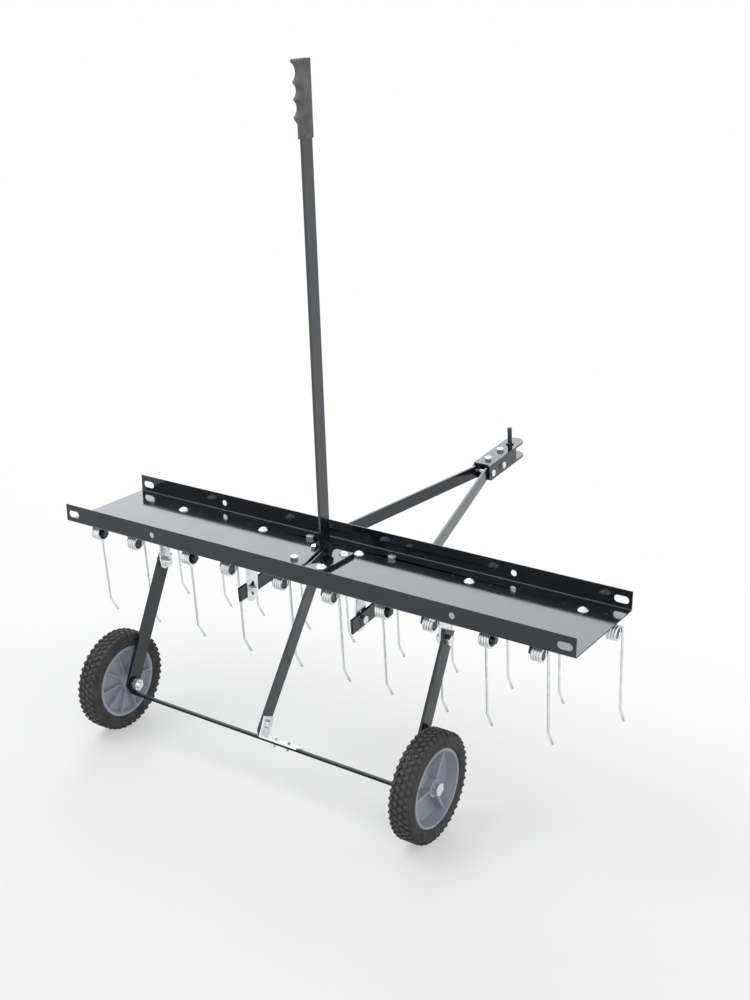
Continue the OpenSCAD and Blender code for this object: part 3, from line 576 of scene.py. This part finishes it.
class RAKE_OT_stage(bpy.types.Operator):
    """Floor, light and camera"""

    bl_idname = "rake.stage"
    bl_label = "Stage"

    def execute(self, context):
        self.camera(context)
        self.floor(context)
        self.light(context)
        context.scene.view_settings.view_transform = "Standard"
        return {"FINISHED"}

    def camera(self, context):
        """The photograph's point of view."""
        deselect()
        bpy.ops.object.camera_add()
        camera = context.object
        camera.name = "camera"
        camera.data.lens = sizes().lens
        camera.data.clip_end = 60
        place = (1.22568, -1.914024, 1.193827)
        around, above = radians(33.581), radians(19.746)
        back = Vector((sin(around) * cos(above), -cos(around) * cos(above), sin(above)))
        turn = (-back).to_track_quat("-Z", "Y").to_matrix().to_4x4()
        camera.matrix_world = Matrix.Translation(place) @ turn
        context.scene.camera = camera

    def floor(self, context):
        """A pale floor that the camera sees fade to white, ahead of the rake and far off all around."""
        deselect()
        bpy.ops.mesh.primitive_plane_add(size=24)
        floor = context.object
        floor.name = "floor"
        finish, tree, shader, place = new_finish("pale_floor")
        mottled(tree, shader, noise(tree, place, 3, 5), look().floor, 1.03)
        shader.inputs["Roughness"].default_value = 0.55
        shader.inputs["Specular IOR Level"].default_value = 0.25
        white = tree.nodes.new("ShaderNodeEmission")
        split = tree.nodes.new("ShaderNodeSeparateXYZ")
        tree.links.new(place, split.inputs["Vector"])
        least_white = 0.38
        ahead = span(tree, split.outputs["Y"], least_white, 1.0, start=-0.25, end=0.45)
        around = span(tree, distance(tree, place, (0, 0, 0), (1, 1, 0)), 0.0, 1.0, start=1.7, end=3.2)
        share = combine(tree, "MULTIPLY", combine(tree, "MAXIMUM", ahead, around), self.seen(tree))
        self.blend(tree, share, shader, white, tree.nodes["Material Output"])
        floor.data.materials.append(finish)

    def seen(self, tree):
        """One for what the camera sees, straight, mirrored or through glass, and nought for light on the object."""
        path = tree.nodes.new("ShaderNodeLightPath")
        ray = path.outputs["Is Camera Ray"]
        for other in ("Is Glossy Ray", "Is Transmission Ray"):
            ray = combine(tree, "MAXIMUM", ray, path.outputs[other])
        return ray

    def blend(self, tree, share, first, second, output):
        """Mixes two shaders into the output."""
        mix = tree.nodes.new("ShaderNodeMixShader")
        tree.links.new(share, mix.inputs["Fac"])
        tree.links.new(first.outputs[0], mix.inputs[1])
        tree.links.new(second.outputs[0], mix.inputs[2])
        tree.links.new(mix.outputs[0], output.inputs["Surface"])

    def light(self, context):
        """An even white studio, and three softboxes aimed at the rake."""
        middle = Vector((0, -0.2, 0.3))
        world = bpy.data.worlds.new("studio")
        context.scene.world = world
        world.use_nodes = True
        tree = world.node_tree
        sky = tree.nodes["Background"]
        sky.inputs["Color"].default_value = (1, 1, 1, 1)
        sky.inputs["Strength"].default_value = 0.62
        backdrop = tree.nodes.new("ShaderNodeBackground")
        backdrop.inputs["Color"].default_value = (1, 1, 1, 1)
        self.blend(tree, self.seen(tree), sky, backdrop, tree.nodes["World Output"])
        for name, place, size, power, colour in (
            ("softbox_key", (-1.6, -1.2, 3.2), 2.4, 34, (1.0, 1.0, 1.0)),
            ("softbox_fill", (2.6, -2.4, 2.2), 2.0, 24, (1.0, 1.0, 1.0)),
            ("softbox_back", (-2.2, 2.9, 1.9), 3.0, 58, (0.9, 0.955, 1.0)),
        ):
            deselect()
            bpy.ops.object.light_add(type="AREA")
            lamp = context.object
            lamp.name = name
            lamp.data.size = size
            lamp.data.energy = power
            lamp.data.color = colour
            lamp.visible_camera = False
            aim = (middle - Vector(place)).to_track_quat("-Z", "Y").to_matrix().to_4x4()
            lamp.matrix_world = Matrix.Translation(place) @ aim


class RAKE_OT_painted_steel(bpy.types.Operator):
    """Black tray, lever, bars and brackets with eased edges"""

    bl_idname = "rake.painted_steel"
    bl_label = "Painted steel"

    def execute(self, context):
        glossy = powder_coat(look(), "black_powder_coat", look().paint_gloss, look().paint_shine)
        bright = powder_coat(look(), "bright_powder_coat", look().paint_gloss, look().bright_shine)
        satin = powder_coat(look(), "satin_powder_coat", look().satin_gloss, look().satin_shine)
        for finish, nodes in ((glossy, PAINTED), (bright, BRIGHT), (satin, SATIN)):
            for node, body in nodes:
                piece = node_copy(node)
                if node.startswith("tine_holders"):
                    self.taper_ears(piece, node.removeprefix("tine_holders_"))
                ease(piece, sizes().steel_edge)
                settle(piece, node + "_painted", body, "black_paint", finish, node)
        return {"FINISHED"}

    def taper_ears(self, piece, row):
        """Draws in the ears of the tine holders beside the coils, so that the coil ends show."""
        tines = [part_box(f"tine_{row}_{number}") for number in range(1, TINES_PER_ROW + 1)]
        y, z = coil_axis(f"tine_{row}_1")
        bore = sizes().coil - sizes().wire / 2
        taper = 0.6

        def beside(co):
            inside = any(low.x < co.x < high.x for low, high in tines)
            return (co.y - y) ** 2 + (co.z - z) ** 2 < bore**2 and not inside

        edit(piece, "DESELECT")
        choose(piece, beside)
        bpy.ops.transform.resize(value=(1, taper, taper), center_override=(0, y, z))
        close()


class RAKE_OT_plated_hardware(bpy.types.Operator):
    """Zinc-plated bolts, hangers and small brackets with eased edges"""

    bl_idname = "rake.plated_hardware"
    bl_label = "Plated hardware"

    def execute(self, context):
        finish = zinc_plate(look())
        for node, body in PLATED:
            piece = node_copy(node)
            ease(piece, sizes().bolt_edge)
            settle(piece, node + "_plated", body, "zinc_steel", finish, node)
        return {"FINISHED"}


class RAKE_OT_tines(bpy.types.Operator):
    """Spring tines: one wire wound into a coil, with a straight stub, a leg and a bent tip"""

    bl_idname = "rake.tines"
    bl_label = "Tines"

    def execute(self, context):
        finish = drawn_wire(look())
        right = self.wind()
        left = copy_of(right)
        mirror(left)
        for row in ("front", "rear"):
            for number in range(1, TINES_PER_ROW + 1):
                self.hang(f"tine_{row}_{number}", left, right, number, finish)
        deselect()
        bpy.data.objects.remove(left)
        bpy.data.objects.remove(right)
        return {"FINISHED"}

    def wind(self):
        """One right-hand tine, with the start of its coil on the origin."""
        size = sizes()
        rounding, bend = 0.0006, 0.012
        deselect()
        bpy.ops.mesh.primitive_circle_add(vertices=12, radius=size.wire / 2)
        wire = bpy.context.object
        edit(wire)
        bpy.ops.transform.translate(value=(0, size.coil, 0))
        close()
        apply(
            wire,
            "SCREW",
            axis="X",
            angle=-2 * pi,
            iterations=size.coil_turns,
            screw_offset=size.coil_pitch,
            steps=24,
            render_steps=24,
        )
        length = size.coil_turns * size.coil_pitch
        edit(wire, "DESELECT")
        choose(wire, lambda co: abs(co.z) < ON_PLANE and co.y > 0 and co.x < size.wire / 2 + ON_PLANE)
        extrude((0, 0, size.stub - rounding))
        self.round_end((0, 0, rounding))
        choose(wire, lambda co: abs(co.z) < ON_PLANE and co.y > 0 and co.x > length - size.wire / 2 - ON_PLANE)
        corner = bend * tan((size.tip_angle - size.leg_lean) / 2)
        self.turn(length, (size.coil + bend, 0), 3, size.leg_lean)
        run = size.leg / cos(size.leg_lean) - corner - bend * tan(size.leg_lean / 2)
        extrude((0, run * sin(size.leg_lean), -run * cos(size.leg_lean)))
        y = size.coil + size.leg * tan(size.leg_lean) - corner * sin(size.leg_lean)
        z = -size.leg + corner * cos(size.leg_lean)
        self.turn(
            length,
            (y + bend * cos(size.leg_lean), z + bend * sin(size.leg_lean)),
            6,
            size.tip_angle - size.leg_lean,
        )
        run = size.tip - corner - rounding
        way = Vector((0, sin(size.tip_angle), -cos(size.tip_angle)))
        extrude(way * run)
        self.round_end(way * rounding)
        close()
        clean(wire)
        smooth(wire, 60)
        return wire

    def turn(self, x, centre, steps, angle):
        """Bends the open end of the wire about a centre in its plane."""
        bpy.ops.mesh.spin(steps=steps, angle=-angle, center=(x, *centre), axis=(1, 0, 0))

    def round_end(self, step):
        """Rounds off the end of the wire and closes it."""
        draw_in = 0.72
        extrude(step)
        bpy.ops.transform.resize(value=(draw_in, draw_in, draw_in))
        bpy.ops.mesh.edge_face_add()

    def hang(self, node, left, right, number, finish):
        """Sets a copy of the tine in place of its node."""
        low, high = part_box(node)
        is_right = number % 2 == 0 or node in SINGLE_TINES
        x = low.x + sizes().wire / 2 if is_right else high.x - sizes().wire / 2
        tine = copy_of(right if is_right else left)
        shift(tine, (x, *coil_axis(node)))
        settle(tine, node + "_wire", "chassis", "spring_wire", finish, node)


class RAKE_OT_wheels(bpy.types.Operator):
    """Treaded tyres on dished plastic rims"""

    bl_idname = "rake.wheels"
    bl_label = "Wheels"

    def execute(self, context):
        axle = sum(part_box("tyre_left"), Vector()) / 2
        rubber = tyre_rubber(look(), axle, sizes().tyre)
        plastic = rim_plastic(look())
        for side in ("left", "right"):
            low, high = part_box("tyre_" + side)
            tyre = self.tyre()
            rim = self.rim()
            for piece in (tyre, rim):
                if side == "left":
                    mirror(piece)
                shift(piece, (low + high) / 2)
            settle(tyre, "tyre_" + side + "_treaded", "wheel_" + side, "black_rubber", rubber, "tyre_" + side)
            settle(rim, "rim_" + side + "_moulded", "wheel_" + side, "grey_plastic", plastic, "rim_" + side)
        return {"FINISHED"}

    def tyre(self):
        """A carcass with ribbed sidewalls, and rows of knobs on the tread."""
        size = sizes()
        half = size.tyre_width / 2
        gap, groove = 0.0002, 0.0026
        seat = size.rim + gap
        base = size.tyre - groove
        profile = [
            (0.82 * half, seat),
            (0.95 * half, seat + 0.0025),
            (half, seat + 0.0055),
            (half, seat + 0.0085),
            (0.965 * half, seat + 0.0092),
            (0.965 * half, seat + 0.0105),
            (half, seat + 0.0112),
            (0.985 * half, base - 0.006),
            (0.9 * half, base - 0.0022),
            (0.72 * half, base - 0.0004),
            (0.4 * half, base),
        ]
        outline = profile + [(-x, r) for x, r in reversed(profile)] + [profile[0]]
        tyre = chain([(x, 0, -r) for x, r in outline], 128)
        smooth(tyre, 40)
        step = 2 * pi / size.knobs
        pitch = step * size.tyre
        wide, long = 0.44 * half, 0.6 * pitch
        knobs = []
        for x, turn, slant in ((-0.73, 0.0, 25), (-0.25, 0.5, -25), (0.25, 0.0, 25), (0.73, 0.5, -25)):
            knob = self.knob(x * half, wide, long, radians(slant))
            ring_of(knob, size.knobs, turn * step)
            knobs.append(knob)
        return join(tyre, *knobs)

    def knob(self, x, wide, long, slant):
        """One slanted tread block, six-sided and sunk into the carcass, that falls away at the shoulder."""
        deep, drop, overlap, rounding = 0.006, 0.0022, 1.2, 0.0006
        half = sizes().tyre_width / 2
        middle = -sizes().tyre + deep / 2
        deselect()
        bpy.ops.mesh.primitive_cylinder_add(vertices=6, radius=0.5, depth=1)
        knob = bpy.context.object
        edit(knob)
        bpy.ops.transform.resize(value=(wide * overlap, long, deep))
        bpy.ops.transform.rotate(value=slant, orient_axis="Z", center_override=(0, 0, 0))
        bpy.ops.transform.translate(value=(x, 0, middle))
        bpy.ops.mesh.select_mode(type="EDGE")
        bpy.ops.mesh.select_all(action="SELECT")
        bpy.ops.mesh.bevel(offset=rounding, segments=1, affect="EDGES")
        if abs(x) > 0.5 * half:
            choose(knob, lambda co: abs(co.x) > 0.8 * half and co.z < middle)
            bpy.ops.transform.translate(value=(0, 0, drop))
        close()
        return knob

    def rim(self):
        """A ring, a dished web and a hub, with ribs inside and three spokes outside."""
        outer = sizes().rim
        profile = [
            (0.0165, outer - 0.0006),
            (0.017, outer - 0.0014),
            (0.017, outer - 0.0042),
            (0.0163, outer - 0.005),
            (0.0, outer - 0.0068),
            (-0.0025, outer - 0.0076),
            (-0.0042, outer - 0.0098),
            (-0.005, outer - 0.0135),
            (-0.0052, 0.028),
            (-0.003, 0.018),
            (0.0, 0.0152),
            (0.0122, 0.0148),
            (0.013, 0.0138),
            (0.013, 0.0062),
            (-0.026, 0.0062),
            (-0.026, 0.0142),
            (-0.0252, 0.015),
            (-0.0095, 0.0156),
            (-0.0082, 0.02),
            (-0.0082, outer - 0.012),
            (-0.0085, outer - 0.0086),
            (-0.0155, outer - 0.0062),
            (-0.017, outer - 0.0052),
            (-0.017, outer - 0.0012),
            (-0.0165, outer - 0.0002),
            (0.0158, outer - 0.0002),
            (0.0165, outer - 0.0006),
        ]
        rim = chain([(x, 0, -r) for x, r in profile], 96)
        smooth(rim, 30)
        ribs = block((0.009, 0.0026, outer - 0.0195), (-0.0122, 0, -(outer + 0.0105) / 2), 0.0005)
        ring_of(ribs, 10, pi / 10)
        spokes = block((0.017, 0.0046, outer - 0.0185), (0.0025, 0, -(outer + 0.0095) / 2), 0.0008)
        ring_of(spokes, 3, radians(90))
        return join(rim, ribs, spokes)


class RAKE_OT_grip(bpy.types.Operator):
    """Moulded hand grip with finger grooves behind and a lip at the top"""

    bl_idname = "rake.grip"
    bl_label = "Grip"

    def execute(self, context):
        size = sizes()
        low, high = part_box("grip")
        lean = size.lever_lean
        corner = 0.005
        deselect()
        bpy.ops.mesh.primitive_plane_add(size=1)
        grip = context.object
        edit(grip)
        bpy.ops.transform.resize(value=(size.grip_thick, size.grip_wide, 1))
        bpy.ops.mesh.bevel(offset=corner, segments=5, affect="VERTICES")
        rings = 58
        step = size.grip_long / rings
        bpy.ops.mesh.select_all(action="SELECT")
        for _ in range(rings):
            extrude((0, 0, step))
        for ring in range(rings + 1):
            self.form(grip, ring * step, size.grip_long)
        close()
        clean(grip)
        self.soften_ends(grip, size.grip_long)
        smooth(grip, 50)
        edit(grip)
        bpy.ops.transform.rotate(value=-lean, orient_axis="X", center_override=(0, 0, 0))
        close()
        middle = size.grip_long / 2
        lift = Vector((0, -middle * sin(lean), middle * cos(lean)))
        shift(grip, (low + high) / 2 - lift)
        settle(grip, "grip_moulded", "lift_lever", "black_grip", grip_rubber(look()), "grip")
        return {"FINISHED"}

    def form(self, grip, z, long):
        """Draws one ring in or out, most at the back, where the fingers lie."""
        below = (long - z) / long
        ridges = (0.04, 0.286, 0.495, 0.714)
        crest, deep, fade = 1.45, 0.685, 0.1
        lip, flare = 0.045, (1.12, 0.97, 1)
        back = crest - deep * min(1.0, max(0.0, below - ridges[-1]) / fade)
        for top, foot in zip(ridges, ridges[1:]):
            if top <= below <= foot:
                back = crest - deep * sin(pi * (below - top) / (foot - top)) ** 0.6
        choose(grip, lambda co: abs(co.z - z) < ON_PLANE and co.y < -1e-4)
        bpy.ops.transform.resize(value=(1, back, 1), center_override=(0, 0, z))
        if below < lip:
            choose(grip, lambda co: abs(co.z - z) < ON_PLANE)
            bpy.ops.transform.resize(value=flare, center_override=(0, 0, z))

    def soften_ends(self, grip, long):
        """Rounds the rim of the two end faces."""
        rounding = 0.0012
        edit(grip, "DESELECT")
        for z in (0, long):
            choose(grip, lambda co: abs(co.z - z) < ON_PLANE)
            bpy.ops.mesh.bevel(offset=rounding, segments=2, affect="EDGES")
        close()


class RAKE_PT_pieces(bpy.types.Panel):
    """Lists the pieces and their settings"""

    bl_idname = "RAKE_PT_pieces"
    bl_label = "Lawn rake"
    bl_space_type = "VIEW_3D"
    bl_region_type = "UI"
    bl_category = "Rake"

    def draw(self, context):
        for group in (context.scene.rake_look, context.scene.rake_sizes):
            column = self.layout.column(align=True)
            for name in group.__annotations__:
                column.prop(group, name)
        for operator in OPERATORS:
            self.layout.operator(operator.bl_idname)


OPERATORS = (
    RAKE_OT_stage,
    RAKE_OT_painted_steel,
    RAKE_OT_plated_hardware,
    RAKE_OT_tines,
    RAKE_OT_wheels,
    RAKE_OT_grip,
)
CLASSES = (RakeLook, RakeSizes, *OPERATORS, RAKE_PT_pieces)


def register():
    for each in CLASSES:
        bpy.utils.register_class(each)
    bpy.types.Scene.rake_look = bpy.props.PointerProperty(type=RakeLook)
    bpy.types.Scene.rake_sizes = bpy.props.PointerProperty(type=RakeSizes)


def unregister():
    del bpy.types.Scene.rake_sizes
    del bpy.types.Scene.rake_look
    for each in reversed(CLASSES):
        bpy.utils.unregister_class(each)


def main():
    register()
    bpy.ops.rake.stage()
    bpy.ops.rake.painted_steel()
    bpy.ops.rake.plated_hardware()
    bpy.ops.rake.tines()
    bpy.ops.rake.wheels()
    bpy.ops.rake.grip()


if __name__ == "__main__":
    main()
